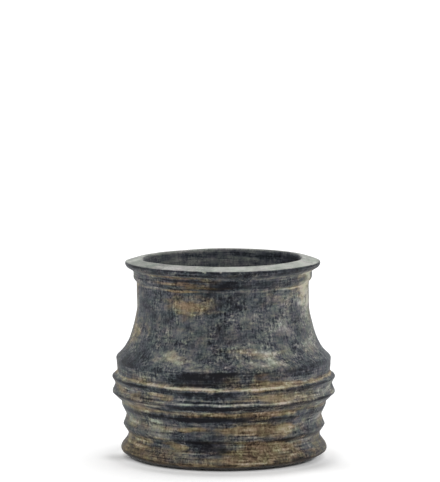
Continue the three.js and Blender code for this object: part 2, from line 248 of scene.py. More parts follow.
PLACES = (
    # Rim and collar
    place(-33, 196.2, 22, 2.5, pink=0.3),
    place(-10.5, 195.3, 1.8, 1.3, light=1, warm=0.3),
    place(0, 195, 1.8, 1.3, light=1, warm=0.3),
    place(-62, 194.5, 14, 1.6, light=-0.15),
    place(-78, 193.2, 16, 2.4, light=0.16, chalk=0.9),
    place(66, 188, 14, 3, light=0.2),
    place(-30, 187.4, 28, 1.5, light=0.12, warm=0.6, pink=0.2),
    place(-56, 187, 10, 1.5, light=0.18),
    place(20, 186.5, 40, 1, light=0.06),
    place(66, 185, 15, 4, light=0.4, warm=0.35),
    place(-8, 184.5, 10, 2.5, warm=0.45),
    place(-26, 184.4, 36, 1.2, light=-0.26, warm=0.2),
    place(8, 184, 8, 1.4, light=-0.12),
    place(8, 184, 16, 2.5, light=-0.16),
    place(38, 184, 12, 4, pink=0.5),
    place(-70, 181, 12, 5, light=0.15),
    place(-38, 181, 10, 3, light=0.08),
    place(-32, 181, 8, 1.4, light=0.14),
    place(-30, 181, 30, 1.9, light=0.1, warm=0.65, pink=0.3),
    place(24, 180, 44, 3, light=-0.2),
    place(-46, 179.5, 12, 2, light=-0.1),
    place(-5, 179, 20, 5, light=-0.16, warm=0.1),
    place(-12, 178, 22, 1.5, light=0.08, warm=0.6),
    place(48, 177.5, 8, 1.6, light=0.12),
    place(-30, 176.6, 12, 1.2, light=-0.1, warm=0.3),
    place(54, 174.5, 16, 1.4, light=0.22, warm=0.3),
    place(-50, 174.2, 26, 1, light=0.16, warm=0.2),
    place(64, 174, 16, 5, light=0.2, warm=0.3),
    place(-27, 173.8, 16, 1.2, light=0.16, warm=0.7),
    place(56, 173.8, 20, 1.1, light=0.16, warm=0.1),
    # Neck
    place(-20, 171.8, 18, 1.8, light=-0.14, warm=-0.3, pink=-0.4),
    place(44, 171.5, 12, 3, light=-0.18, warm=-0.6),
    place(-24, 170, 24, 5, light=-0.02, warm=0.25),
    place(72, 170, 18, 18, light=0.45, warm=0.4),
    place(-40, 169.5, 6, 2.5, light=-0.12, warm=-0.3),
    place(-46, 168, 22, 8, light=-0.06),
    place(-34, 168, 8, 5, light=0.14, warm=0.3),
    place(104, 168, 22, 22, light=-0.1),
    place(-56, 167, 8, 4, light=0.1),
    place(-2, 167, 24, 11, light=-0.14, warm=0.1),
    place(46, 166, 14, 5, light=0.12),
    place(48, 164, 8, 3, light=0.14),
    place(50, 164, 22, 10, light=0.14, warm=0.1),
    place(-38, 163.5, 12, 2.5, light=0.06, warm=0.35),
    place(-8, 162.5, 7, 3, light=0.1),
    place(44, 162, 10, 8, pink=0.3),
    place(64, 162, 9, 5, light=0.22, warm=0.4),
    place(-7, 160, 10, 6, light=0.12, warm=0.5),
    place(26, 160, 12, 4, light=-0.2),
    place(74, 160, 8, 18, light=0.14),
    place(57, 159.5, 9, 4.5, light=-0.14, warm=-0.5),
    place(-26, 159, 20, 4.5, light=0.17, warm=0.75, pink=0.5),
    place(38, 157, 12, 2.4, light=-0.12, warm=-0.4),
    place(-9, 155, 6, 4, light=0.08, warm=0.25),
    place(-22, 154, 8, 3, light=-0.08, warm=-0.4),
    place(10, 154, 12, 5, light=-0.14),
    place(-20, 153, 14, 3, light=0.06, warm=0.5),
    place(48, 152, 18, 10, light=0.14),
    place(-80, 150, 7, 36, light=0.16, warm=0.3),
    place(-62, 150, 6, 30, light=-0.06),
    place(-60, 150, 16, 8, light=-0.1),
    place(10, 150, 18, 5, light=0.14, chalk=0.7),
    place(-26, 149, 12, 5, light=0.08, warm=0.3),
    place(-32, 148, 8, 4, light=-0.1, warm=-0.3),
    place(16, 148, 6, 2.4, light=0.12),
    place(-38, 147, 9, 8, light=-0.12),
    place(43, 145.5, 10, 2.5, light=-0.12),
    place(-36, 144, 8, 3, light=-0.14),
    place(-2, 143, 12, 24, light=-0.09),
    place(77, 142, 24, 24, light=0.26),
    place(28, 140, 30, 26, light=0.08),
    place(-28, 138, 12, 2, light=-0.14),
    place(44, 138, 8, 10, pink=0.25),
    place(41, 137, 10, 8, light=0.24, chalk=0.6),
    place(-30, 136, 12, 2.5, light=0.1, warm=0.2),
    place(-24, 136, 7, 2.4, light=-0.12),
    place(48, 136, 15, 2.2, light=0.14),
    place(-4, 135, 8, 8, pink=0.3),
    place(35, 131, 8, 6, light=-0.14),
    place(60, 131, 10, 5, light=-0.14),
    place(-73, 130, 12, 12, light=0.12, warm=0.25),
    place(-56, 130, 7, 6, light=0.12, warm=0.2),
    place(62, 128, 30, 26, light=0.05),
    place(-74, 127, 16, 14, light=0.1, warm=0.3),
    place(54, 126, 10, 6, light=0.14),
    place(-48, 124, 12, 20, light=-0.06),
    place(8, 123.5, 7, 2.2, light=0.15),
    place(10, 122, 16, 2.5, light=0.12),
    place(0, 121, 8, 1.8, light=0.12, warm=-0.2),
    place(60, 120, 16, 3, light=0.13),
    place(66, 118, 20, 3, light=0.22),
    place(12, 117, 16, 3, light=0.2, warm=0.4),
    place(24, 116.5, 18, 2.2, light=0.13, warm=-0.3),
    place(30, 115.5, 9, 2.4, light=0.14),
    place(24, 115, 28, 2.5, light=0.18, warm=0.2),
    place(60, 113.5, 18, 3.5, light=0.12, warm=0.2),
    place(-32, 113, 12, 3, light=0.3, warm=0.25),
    place(-42, 112, 14, 5, light=0.18, warm=0.1),
    place(20, 112, 10, 3, light=0.12, warm=0.25),
    place(-32, 111.5, 7, 2.4, light=-0.14),
    place(8, 111.5, 6, 2.4, light=0.18, warm=0.3),
    place(28, 111, 8, 7, light=0.32, warm=0.2),
    place(40, 110.8, 7, 2.6, light=0.18),
    place(-25, 108, 12, 3.5, light=0.28, warm=0.3),
    place(-38, 107, 14, 2.6, light=0.14, warm=0.25),
    place(22, 107, 18, 4, light=0.18),
    place(8, 104.5, 6, 3.2, light=0.14),
    place(30, 104.5, 26, 2.5, light=0.22, warm=0.1),
    place(-62, 104, 24, 8, light=-0.12),
    place(-20, 104, 16, 4, light=0.08),
    place(20, 103, 14, 4, light=0.08),
    place(-24, 102, 14, 2.5, light=0.18),
    place(52, 102, 18, 3, light=-0.12),
    # Shoulder and the band under it
    place(-60, 100, 20, 4, light=-0.08),
    place(-48, 100, 8, 2.2, light=-0.14),
    place(-14, 99.6, 20, 0.9, light=0.22),
    place(62, 99, 16, 2.5, light=-0.12),
    place(-28, 98.2, 9, 1.2, light=0.2),
    place(12, 98.2, 8, 1.2, light=0.12),
    place(-9, 97.7, 4, 0.8, light=0.26),
    place(10, 97.6, 26, 1, light=-0.22),
    place(-28, 97.5, 11, 2.4, light=0.15),
    place(-12, 97, 36, 2.5, light=-0.18),
    place(12, 97, 9, 2, light=0.13),
    place(-27, 95.6, 7, 0.9, light=0.18),
    place(-5.5, 95.4, 3, 0.8, light=0.22),
    place(-8, 94, 24, 4, light=-0.28),
    place(60, 93, 12, 4, pink=0.3),
    place(20, 92, 8, 2.5, light=-0.06, warm=-0.3),
    place(12, 91.4, 8, 1.4, light=-0.1),
    place(5, 91, 9, 4.5, light=0.1, warm=0.25),
    place(12, 91, 8, 1.8, light=-0.12),
    place(19, 90, 8, 6, light=-0.1, warm=0.35),
    place(-25, 89.5, 5, 4, light=-0.08),
    place(-14, 89.5, 28, 5, light=-0.28),
    place(-66, 89.3, 10, 2, light=0.12),
    place(56, 89, 9, 4.5, light=0.12),
    place(40, 88.5, 26, 2, warm=-0.3),
    place(-56, 88, 24, 2.5, light=0.1, warm=0.2),
    place(-55, 88, 26, 5, light=0.06, warm=0.15),
    place(52, 87.5, 16, 1.8, light=0.18, warm=0.1),
    place(48, 87.2, 6, 1.8, light=0.15, warm=-0.6),
    place(36, 86.5, 28, 2.5, light=0.22, warm=0.45),
    place(-68, 86.4, 18, 1.4, light=-0.06, warm=-0.6),
    place(-40, 86.4, 6, 1.6, light=0.13),
    place(-16, 85.6, 16, 1.2, light=-0.2),
    place(-52, 85, 20, 6, light=-0.16, warm=-0.2),
    place(-20, 85, 12, 1.3, light=-0.14),
    place(42, 85, 12, 1.2, light=0.22),
    place(48, 85, 7, 1.4, light=0.15),
    place(66, 85, 12, 1.6, light=-0.1),
    place(-79, 84.6, 12, 2.2, warm=-0.6),
    # Ridges. The long light lines along the crests, such as at 81.6 and 67.1 mm, are painted highlights, and
    # the dark ones just under them, such as at 76 and 63.5 mm, painted shade
    place(24, 83.4, 5, 1.4, light=-0.14),
    place(8, 82.8, 5, 1.2, light=0.16, warm=0.4),
    place(50, 82.6, 8, 1, light=-0.16, warm=-0.4),
    place(-64, 81.8, 14, 1.1, light=0.14, warm=0.3),
    place(-10, 81.6, 34, 1.1, light=0.28, warm=0.05),
    place(20, 81.6, 16, 1.6, light=0.16, warm=0.2),
    place(-50, 80, 18, 1.4, light=-0.13),
    place(-42, 80, 10, 8, pink=-0.3),
    place(40, 79.8, 6, 0.9, light=0.15),
    place(16, 79.6, 12, 0.9, light=0.14, warm=0.2),
    place(-7, 79.2, 3.5, 1.3, light=0.4, warm=0.2),
    place(-52, 79, 14, 1.3, light=-0.11),
    place(-32, 77.5, 20, 1.6, light=-0.14),
    place(-44, 77.2, 16, 1.4, light=-0.2),
    place(17, 76.6, 6, 1, light=-0.14),
    place(0, 76.4, 10, 1.5, light=-0.12),
    place(-12, 76, 28, 3, light=-0.3),
    place(-32, 75.2, 5, 1.4, light=-0.16),
    place(30, 75.2, 18, 1.2, light=0.12),
    place(-36, 74.4, 14, 1.5, light=0.3, warm=0.5),
    place(48, 74.4, 6, 1.8, light=0.2),
    place(-76, 74, 14, 5, light=0.08, warm=0.4),
    place(66, 74, 14, 5, light=0.22),
    place(64, 73.6, 8, 1.4, light=-0.17),
    place(-57, 73.5, 8, 2.5, warm=-0.5),
    place(-60, 73, 22, 4, light=0.12, warm=0.3),
    place(62, 73, 18, 4, light=0.14),
    place(-15, 72.6, 1.7, 3, light=0.25),
    place(-11.5, 72.4, 2.6, 2.6, light=0.2, warm=0.3),
    place(-8, 72, 20, 2, light=-0.12),
    place(28, 72, 24, 4, light=0.26, warm=0.4),
    place(72, 72, 9, 10, light=0.2, warm=0.2),
    place(77, 72, 10, 7, light=0.18, warm=0.2),
    place(-1.5, 71.6, 1.8, 2.6, light=0.12),
    place(-48, 71.4, 6, 1.6, light=0.14),
    place(-32, 71, 7, 2.4, warm=0.6),
    place(-14, 71, 22, 1.5, light=0.06, chalk=0.9),
    place(-40, 70.8, 10, 1, light=0.16),
    place(2, 70.7, 24, 1, light=0.15, warm=0.25),
    place(20, 70.6, 10, 1.2, light=0.13),
    place(40, 70, 16, 4, light=0.16),
    place(50, 70, 14, 2, light=0.26, warm=0.2),
    place(-12, 69.2, 32, 1, light=-0.3),
    place(40, 69, 10, 1.2, light=0.26),
    place(-38, 68.7, 10, 0.9, light=-0.08),
    place(-50, 68, 30, 6, warm=0.3),
    place(-60, 67.4, 10, 1, light=0.12),
    place(-15.5, 67.2, 3, 1.4, light=-0.45),
    place(-4, 67.1, 56, 0.7, light=0.52),
    place(-6.5, 67, 3, 1, light=-0.16),
    place(7, 67, 4, 1, light=-0.14),
    place(0, 66.3, 20, 0.8, light=0.12),
    place(24, 66.2, 24, 0.9, light=0.16),
    place(60, 66.2, 16, 1.4, light=-0.16),
    place(4, 66.1, 22, 0.8, light=0.18),
    place(-60, 64.4, 14, 1.3, light=-0.18),
    place(-70, 64.2, 9, 1.8, light=-0.26),
    place(-12, 63.5, 34, 3, light=-0.16),
    place(-42, 63, 12, 1.6, light=0.14, warm=0.1),
    place(72, 62, 7, 2.5, light=0.2),
    place(-6, 61.8, 24, 1.6, light=-0.16),
    place(-42, 61.6, 10, 1.2, light=0.12),
    place(-40, 61.5, 5, 1, light=0.14),
    place(6, 61.4, 6, 1.2, light=-0.16),
    place(-16, 61, 9, 1.2, light=-0.12),
    place(16, 61, 10, 1.2, light=-0.15),
    place(65, 60, 20, 5, light=0.2),
    place(-36, 59.2, 9, 1, light=-0.18),
    place(-36, 58.7, 9, 1.1, light=-0.16, warm=-0.4),
    place(-40, 58.6, 10, 1.2, light=-0.14),
    place(-56, 58, 24, 5, light=0.12, warm=0.2),
    place(-32, 58, 8, 1.2, light=-0.15),
    place(-16, 58, 20, 1.4, light=0.24, warm=0.2),
    place(4, 57, 16, 1.4, light=0.1),
    place(28, 57, 20, 3, pink=0.5),
    place(-8, 55.6, 14, 1.1, light=0.16),
    place(-8, 55.6, 20, 1.2, light=0.1, warm=0.6),
    place(14, 55.5, 44, 2.6, light=0.06, warm=0.6),
    place(36, 55, 14, 1.4, light=0.16, warm=0.2),
    place(-4, 54.2, 18, 1.2, light=-0.16),
    place(-16, 54, 14, 1.3, light=0.06, warm=0.7),
    place(39, 54, 6, 2.2, light=0.34, warm=0.1),
    place(50, 54, 12, 4, light=-0.04, warm=-0.5),
    place(0, 53, 12, 2.6, light=-0.1),
    place(28, 53, 20, 1.8, light=0.16),
    place(36, 52, 9, 1.6, light=0.15),
    place(20, 51.6, 14, 1.6, light=0.14, warm=0.3),
    place(-8, 50.6, 30, 2.6, light=-0.26),
    place(-70, 50, 14, 48, pink=-0.25),
    place(52, 49, 14, 6, light=0.16),
    place(25, 48, 52, 50, warm=0.25),
    place(70, 48, 10, 22, pink=0.4),
    place(-62, 47, 10, 3, light=0.14),
    place(-44, 47, 8, 2, light=0.14),
    place(70, 47, 12, 5, light=0.14),
    place(0, 46.6, 10, 1.2, light=0.12),
    place(-72, 46.5, 9, 5, light=0.15),
    place(-42, 46.5, 10, 2.4, light=0.3, warm=0.1),
    place(48, 46.5, 7, 4, light=-0.08, warm=-0.5),
    place(4, 46.4, 8, 1, light=0.14, warm=0.2),
    place(-74, 44, 8, 5, light=0.16),
    place(-48, 44, 6, 1.8, light=0.14),
    place(58, 44, 10, 4, light=0.1),
    place(-40, 43.6, 8, 1.4, light=0.1),
    place(-24, 43, 10, 1.6, light=-0.09),
    place(-20, 43, 10, 1.6, light=-0.08),
    place(74, 43, 12, 7, light=0.22),
    place(-42, 42, 8, 6, light=0.16),
    place(11, 42, 10, 6, light=0.08, warm=0.2),
    place(30, 42, 20, 1.4, light=-0.1),
    place(-18, 41, 16, 2, light=0.16, warm=0.6),
    place(8, 41, 18, 3, light=0.06, warm=0.6),
    place(22, 41, 16, 8, light=0.02, warm=0.6),
    place(41, 41, 8, 4, light=0.12, warm=0.1),
    place(62, 41, 16, 6, light=0.04, warm=-0.5),
    place(-64, 40.4, 14, 2.6, light=0.24, warm=0.1),
    place(-12, 40, 14, 2, light=-0.12),
    place(37, 40, 11, 6, light=0.24, warm=0.6),
    place(40, 40, 5, 2, light=-0.15),
    place(44, 40, 16, 5, light=0.12),
    place(-38, 39.8, 14, 1.6, light=0.22, warm=0.2),
    place(-24, 39, 6, 1.8, light=0.14, warm=0.5),
    place(48, 38.2, 6, 3, light=0.16),
    place(10, 37.4, 9, 2.4, light=0.2, warm=0.4),
    place(-40, 37, 6, 1.6, light=0.17),
    place(48, 37, 6, 1.8, light=0.14),
    place(-67, 36.8, 10, 1.8, light=0.18, warm=0.3),
    place(8, 36, 8, 2.4, light=0.16),
    place(38, 36, 14, 3.4, light=0.22),
    place(58, 35.4, 12, 2, light=-0.16),
    place(-48, 34.5, 8, 2.2, light=-0.12),
    place(32, 33.8, 7, 4, light=0.15, warm=0.3),
    place(-20, 32, 12, 4, light=-0.04, chalk=0.9),
    place(-19, 31.6, 9, 2.2, light=0.13),
    place(44, 31.6, 9, 1.6, light=0.11),
    place(-40, 31.5, 12, 2.5, light=0.3, warm=0.1),
    place(-20, 31, 10, 1.6, light=0.12),
    # Foot
    place(-40, 29.6, 12, 1.6, light=0.18, warm=0.3),
    place(-64, 29.4, 8, 1.6, light=0.14),
    place(36, 28.6, 12, 1.2, light=-0.22),
    place(-12, 28.5, 24, 4, light=-0.14, chalk=0.5),
    place(11, 28.2, 8, 1.5, light=0.17, warm=0.2),
    place(8, 27.5, 10, 1.6, light=0.1),
    place(18, 27, 10, 1.2, light=-0.16, warm=0.2),
    place(-40, 25.6, 12, 1.6, light=-0.12),
    place(-34, 25.6, 12, 2, light=0.04, warm=0.5),
    place(-60, 25.5, 20, 2.5, light=0.26, warm=0.35),
    place(75, 25, 8, 4, light=0.14, warm=0.3),
    place(56, 24.8, 7, 1.3, light=-0.14, warm=-0.3),
    place(60, 24.6, 16, 2.5, light=0.3, warm=0.1),
    place(60, 23.6, 12, 1.4, light=-0.08),
    place(30, 23.5, 26, 5, light=0.12, warm=0.9),
    place(-26, 22.6, 8, 2.2, light=0.28, warm=0.8),
    place(-8, 22, 22, 4, light=-0.24),
    place(-74, 21, 9, 6, light=0.18),
    place(-60, 21, 14, 4, light=0.13),
    place(0, 21, 12, 1.8, light=-0.08),
    place(18, 20, 12, 16, pink=0.3),
    place(-22, 19, 7, 1.4, light=-0.12),
    place(50, 19, 20, 6, light=0.06, warm=0.1),
    place(56, 19, 18, 3, warm=-0.6),
    place(-62, 18.6, 22, 1.6, light=0.22, warm=0.35),
    place(6, 18, 10, 1.8, light=0.15),
    place(40, 17.4, 16, 2, light=0.16),
    place(-22, 17, 10, 2, light=0.2),
    place(32, 17, 9, 4, light=0.12),
    place(-66, 16, 26, 14, warm=0.45),
    place(-12, 16, 12, 1.8, light=-0.08, warm=-0.3),
    place(16, 16, 26, 10, warm=0.5),
    place(54, 16, 24, 12, chalk=-0.4),
    place(2, 15, 10, 1.8, light=-0.12, warm=-0.4),
    place(-20, 13.4, 12, 1.4, light=0.12),
    place(-8, 13, 12, 2, light=-0.08),
    place(-28, 12.8, 8, 1.6, light=0.1),
    place(2, 12.5, 16, 3, light=0.16, warm=0.4),
    place(20, 11, 16, 2.4, light=0.14),
    place(-40, 10.4, 14, 1.6, light=-0.12),
    place(35, 10, 8, 1.4, light=0.12),
    place(14, 8.6, 20, 1.8, light=0.26, warm=0.5),
    place(20, 7.4, 16, 1.4, light=0.14),
    place(46, 7.2, 14, 2, light=-0.2, warm=-0.3),
    place(-20, 7, 16, 1.8, light=0.14, warm=0.2),
    place(24, 7, 8, 1.6, light=0.12),
    place(26, 7, 8, 1.6, light=0.12),
    place(-60, 6.2, 22, 2.8, light=-0.34),
    place(62, 6.2, 16, 2, light=-0.18),
    place(-68, 6, 12, 3.5, light=-0.25),
    place(70, 6, 12, 3, light=-0.2),
    place(-6, 5.6, 18, 1.7, light=0.12, warm=0.4),
)

# The same for the wall's inner face
INSIDE_BANDS = (
    band(197, 1.5, light=0.16),
    band(191.5, 2.6, light=-0.08),
    band(186.5, 2, light=0.06),
    band(180, 3, light=0.03),
    band(70, 14, light=0.08, warm=0.3),
    band(22, 9, light=0.14, warm=0.45),
)
INSIDE_PLACES = (
    place(112, 190, 26, 12, light=-0.24),
    place(150, 191.5, 34, 3, light=-0.14),
    place(176, 187, 10, 1.8, light=0.14),
    place(-168, 188.5, 20, 2.4, light=0.22, warm=0.2),
    place(-172, 191, 10, 1.2, light=0.08, warm=0.2),
    place(-146, 188, 20, 3.5, light=0.2),
    place(-152, 197, 34, 2.6, light=0.18),
    place(-125, 190, 30, 8, light=0.08),
)

# Out of the photograph's sight, places of the same kinds are strewn by chance, in degrees and millimetres.
# Their tallness is a share of their width, and warmth has a mean and a spread
UNSEEN_PLACES = 90
UNSEEN_ANGLES = (84, 276)
UNSEEN_HEIGHTS = (8, 182)
UNSEEN_WIDTHS = (8, 34)
UNSEEN_NECK = 98
RIDGE_TALLNESS = (0.08, 0.2)
NECK_TALLNESS = (0.2, 0.7)
UNSEEN_LIGHT = (-0.2, -0.12, 0.08, 0.14, 0.2)
UNSEEN_WARM = (0.15, 0.35)

# Lights
WORLD_LIGHT = 0.80
SUN_LIGHT = 0.28
SUN_TOWARDS = (0.2, 0.35, 1)
SUN_SPREAD = math.radians(50)

# The rays that see the world and the floor as a white studio
SEEN_RAYS = ("Is Camera Ray", "Is Glossy Ray", "Is Transmission Ray")

# The floor's half width in metres, and what the camera sees it glow by, to fade to white round a soft shadow.
# The glow paints that shadow's shape: a painted lighter strip beside the foot, more glow away from the
# shadow's middle, and painted deeper shadow at its spots. Reaches are millimetres from the pot's axis, from
# the middle of the shadow, or from its deeper spots
FLOOR_HALF_WIDTH = 15.0
FLOOR_COLOUR = (0.93, 0.93, 0.93, 1)
GLOW_START = (90, 95)
CONTACT_LIFT = 0.25
CONTACT_REACH = (95, 112)
FLOOR_LIFT = (0.10, 0.25)
FLOOR_LIFT_REACH = (90, 116)
PAINTED_SHADOW_MIDDLE = (0.006, -0.022, 0)
PAINTED_SHADOW_SPOTS = (((0.098, -0.062, 0), 55, 0.13), ((-0.094, -0.012, 0), 34, 0.30))


def linear(tone):
    """A tone from 0 to 255, as it looks, as a linear colour."""
    share = np.array(tone, float) / 255
    low, high = share / 12.92, ((share + 0.055) / 1.055) ** 2.4
    return (*np.where(share < 0.04045, low, high), 1.0)


def smooth_step(value, low, high):
    t = np.clip((value - low) / (high - low), 0, 1)
    return t * t * (3 - 2 * t)


class Nodes:
    """A node tree, with a short method for each kind of node."""

    def __init__(self, tree):
        self.tree = tree

    def node(self, kind, **settings):
        made = self.tree.nodes.new(kind)
        for name, value in settings.items():
            setattr(made, name, value)
        return made

    def link(self, source, target):
        self.tree.links.new(source, target)

    def feed(self, target, value):
        """Sets a socket to a number, a colour or another node's output."""
        if isinstance(value, bpy.types.NodeSocket):
            self.link(value, target)
        else:
            target.default_value = value

    def millimetres(self, stretch=(1, 1, 1)):
        """The place on the piece in millimetres, with each axis multiplied by its stretch."""
        here = self.node("ShaderNodeTexCoord").outputs["Object"]
        scaled = self.node("ShaderNodeVectorMath", operation="MULTIPLY")
        self.link(here, scaled.inputs[0])
        scaled.inputs[1].default_value = [s / MM for s in stretch]
        return scaled.outputs["Vector"]

    def distance(self, point):
        """How many millimetres a place on the piece is from a point."""
        apart = self.node("ShaderNodeVectorMath", operation="DISTANCE")
        self.link(self.millimetres(), apart.inputs[0])
        apart.inputs[1].default_value = [p / MM for p in point]
        return apart.outputs["Value"]

    def noise(self, size, stretch=(1, 1, 1), detail=3.0, roughness=0.55, distortion=0.0):
        """Noise with features of about this size in millimetres."""
        made = self.node("ShaderNodeTexNoise")
        self.link(self.millimetres(stretch), made.inputs["Vector"])
        made.inputs["Scale"].default_value = 1 / size
        made.inputs["Detail"].default_value = detail
        made.inputs["Roughness"].default_value = roughness
        made.inputs["Distortion"].default_value = distortion
        return made.outputs["Fac"]

    def attribute(self, name):
        return self.node("ShaderNodeAttribute", attribute_name=name).outputs["Fac"]

    def sum(self, *terms):
        """Adds (weight, output) pairs to the first term, which is a number or an output."""
        total = terms[0]
        for weight, output in terms[1:]:
            step = self.node("ShaderNodeMath", operation="MULTIPLY_ADD")
            self.link(output, step.inputs[0])
            step.inputs[1].default_value = weight
            self.feed(step.inputs[2], total)
            total = step.outputs["Value"]
        return total

    def centred(self, *terms):
        """Adds (weight, noise) pairs into a number that swings about nought."""
        return self.sum(-0.5 * sum(weight for weight, _ in terms), *terms)

    def times(self, first, second):
        made = self.node("ShaderNodeMath", operation="MULTIPLY")
        self.feed(made.inputs[0], first)
        self.feed(made.inputs[1], second)
        return made.outputs["Value"]

    def step(self, value, low, high, out_low=0.0, out_high=1.0):
        """Rises smoothly from out_low to out_high as value goes from low to high."""
        made = self.node("ShaderNodeMapRange", interpolation_type="SMOOTHSTEP")
        self.link(value, made.inputs["Value"])
        for name, number in zip(("From Min", "From Max", "To Min", "To Max"), (low, high, out_low, out_high)):
            made.inputs[name].default_value = number
        return made.outputs["Result"]

    def blend(self, share, first, second):
        """A number between two outputs."""
        made = self.node("ShaderNodeMix", data_type="FLOAT")
        for socket, value in zip(made.inputs[:1] + made.inputs[2:4], (share, first, second)):
            self.link(value, socket)
        return made.outputs[0]

    def mix(self, share, first, second, kind="MIX"):
        """A colour between two others, or the first one multiplied by the second."""
        made = self.node("ShaderNodeMix", data_type="RGBA", blend_type=kind)
        for socket, value in zip((made.inputs[0], made.inputs[6], made.inputs[7]), (share, first, second)):
            self.feed(socket, value)
        return made.outputs[2]

    def ramp(self, value, tones):
        """A colour from a list of positions and tones."""
        made = self.node("ShaderNodeValToRGB")
        self.link(value, made.inputs["Fac"])
        stops = made.color_ramp.elements
        for number, (position, tone) in enumerate(tones):
            stop = stops[number] if number < 2 else stops.new(position)
            stop.position = position
            stop.color = linear(tone)
        return made.outputs["Color"]

    def bump(self, height, distance):
        made = self.node("ShaderNodeBump")
        made.inputs["Distance"].default_value = distance
        self.link(height, made.inputs["Height"])
        return made.outputs["Normal"]

    def shown(self, unseen):
        """1 for the rays that see the white studio, and another number for those that light the object."""
        path = self.node("ShaderNodeLightPath").outputs
        return self.sum(unseen, *((1 - unseen, path[ray]) for ray in SEEN_RAYS))


class Material(Nodes):
    """A material with a principled shader."""

    def __init__(self, name):
        self.material = bpy.data.materials.new(name)
        self.material.use_nodes = True
        super().__init__(self.material.node_tree)
        self.tree.nodes.clear()
        self.shader = self.node("ShaderNodeBsdfPrincipled")
        self.output = self.node("ShaderNodeOutputMaterial")
        self.link(self.shader.outputs["BSDF"], self.output.inputs["Surface"])

    def set(self, name, value):
        """Sets one of the shader's inputs."""
        self.feed(self.shader.inputs[name], value)


# Outline of the pot, read from the frame

def section(node):
    """The (radius, height) outline of a turned CAD node, cut just beside the XZ plane."""
    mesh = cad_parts[node].data
    places = np.array([v.co for v in mesh.vertices])
    corners = places[np.array([p.vertices for p in mesh.polygons])]
    across = corners @ np.array([-math.sin(SECTION_TURN), math.cos(SECTION_TURN), 0])
    segments = []
    for triangle, side in zip(corners, across):
        cut = []
        for a, b in ((0, 1), (1, 2), (2, 0)):
            if (side[a] > 0) != (side[b] > 0):
                share = side[a] / (side[a] - side[b])
                cut.append(triangle[a] + (triangle[b] - triangle[a]) * share)
        if len(cut) == 2 and cut[0][0] > 0:
            segments.append([(math.hypot(p[0], p[1]), p[2]) for p in cut])
    return chained(np.array(segments))


def chained(segments):
    """Puts loose segments in order: an open outline up from the axis, a closed one from the foot's edge."""
    left = list(segments)
    first = min(range(len(left)), key=lambda k: (left[k][:, 0].min() > AXIS_REACH, left[k][:, 1].min()))
    start = left.pop(first)
    points = [*start[start[:, 0].argsort()]]
    while left:
        gaps = np.linalg.norm(np.array(left) - points[-1], axis=2)
        k, end = np.unravel_index(gaps.argmin(), gaps.shape)
        points.append(left.pop(k)[1 - end])
    points = np.array(points)
    if points[0][0] < AXIS_REACH:
        return points
    points = points[:-1]
    before = np.roll(points, 1, 0)
    area = (before[:, 0] * points[:, 1] - points[:, 0] * before[:, 1]).sum()
    points = points if area > 0 else points[::-1]
    foot = (points[:, 0] - HEIGHT_COUNTS * points[:, 1]).argmax()
    return np.roll(points, -foot, 0)


def straightened(points):
    """Drops the points of a closed outline that lie on a straight stretch."""
    before = points - np.roll(points, 1, 0)
    after = np.roll(points, -1, 0) - points
    turn = before[:, 0] * after[:, 1] - before[:, 1] * after[:, 0]
    size = np.linalg.norm(before, axis=1) * np.linalg.norm(after, axis=1)
    return points[np.abs(turn) > STRAIGHT_TURN * size]


def rounded(points):
    """A closed outline as a fine smooth curve that keeps its sharp corners, each a little worn."""
    after = np.roll(points, -1, 0) - points
    length = np.linalg.norm(after, axis=1)
    ahead = after / length[:, None]
    behind = np.roll(ahead, 1, 0)
    near = np.roll(length, 1)
    turn = np.arccos(np.clip((ahead * behind).sum(1), -1, 1))
    tangent = ahead * near[:, None] + behind * length[:, None]
    tangent[length > STRAIGHT_SHARE * near] = ahead[length > STRAIGHT_SHARE * near]
    tangent[near > STRAIGHT_SHARE * length] = behind[near > STRAIGHT_SHARE * length]
    tangent /= np.linalg.norm(tangent, axis=1)[:, None]
    sharp = (turn > CORNER_ANGLE)[:, None]
    leave = np.where(sharp, ahead, tangent) * length[:, None]
    arrive = np.roll(np.where(sharp, behind, tangent), -1, 0) * length[:, None]
    fine = []
    for k, point in enumerate(points):
        target = points[(k + 1) % len(points)]
        t = np.linspace(0, 1, max(2, round(length[k] / FINE_SPACING)), endpoint=False)[:, None]
        fine.append(
            point * (2 * t**3 - 3 * t**2 + 1)
            + leave[k] * (t**3 - 2 * t**2 + t)
            + target * (3 * t**2 - 2 * t**3)
            + arrive[k] * (t**3 - t**2)
        )
    return worn(np.concatenate(fine))


def worn(points):
    """Rounds every corner of a fine closed outline."""
    reach = round(3 * WORN_CORNER / FINE_SPACING)
    offsets = np.arange(-reach, reach + 1)
    weights = np.exp(-((offsets * FINE_SPACING / WORN_CORNER) ** 2) / 2)
    total = sum(w * np.roll(points, k, 0) for k, w in zip(offsets, weights))
    return total / weights.sum()


def spaced(points):
    """Picks the rings of the mesh along the fine outline, closest together on the ridges and the lip."""
    place = np.arange(len(points))
    height = points[:, 1]
    mouth = height.argmax()
    inner_edge = mouth + round(MOUTH_EDGE / FINE_SPACING)
    floor_edge = mouth + (height[mouth:] < height[mouth:].min() + FLOOR_CORNER).argmax()
    on_neck = (height > NECK[0]) & (height < NECK[1])
    spacing = np.select(
        [place > floor_edge, place > inner_edge, height < RIDGES_START, on_neck],
        [BASE_SPACING, INSIDE_SPACING, FOOT_SPACING, NECK_SPACING],
        RIDGE_SPACING,
    )
    steps = np.linalg.norm(np.roll(points, -1, 0) - points, axis=1)
    done = np.concatenate([[0], np.cumsum(steps / spacing)])
    count = round(done[-1])
    wanted = np.arange(count) * done[-1] / count
    closed = np.vstack([points, points[:1]])
    picked = np.stack([np.interp(wanted, done, closed[:, k]) for k in (0, 1)], 1)
    along = np.interp(wanted, done, np.concatenate([[0], np.cumsum(steps)]))
    outside = wanted < done[mouth]
    return picked, along / steps.sum(), outside


# Irregularities of the hand-turned surface

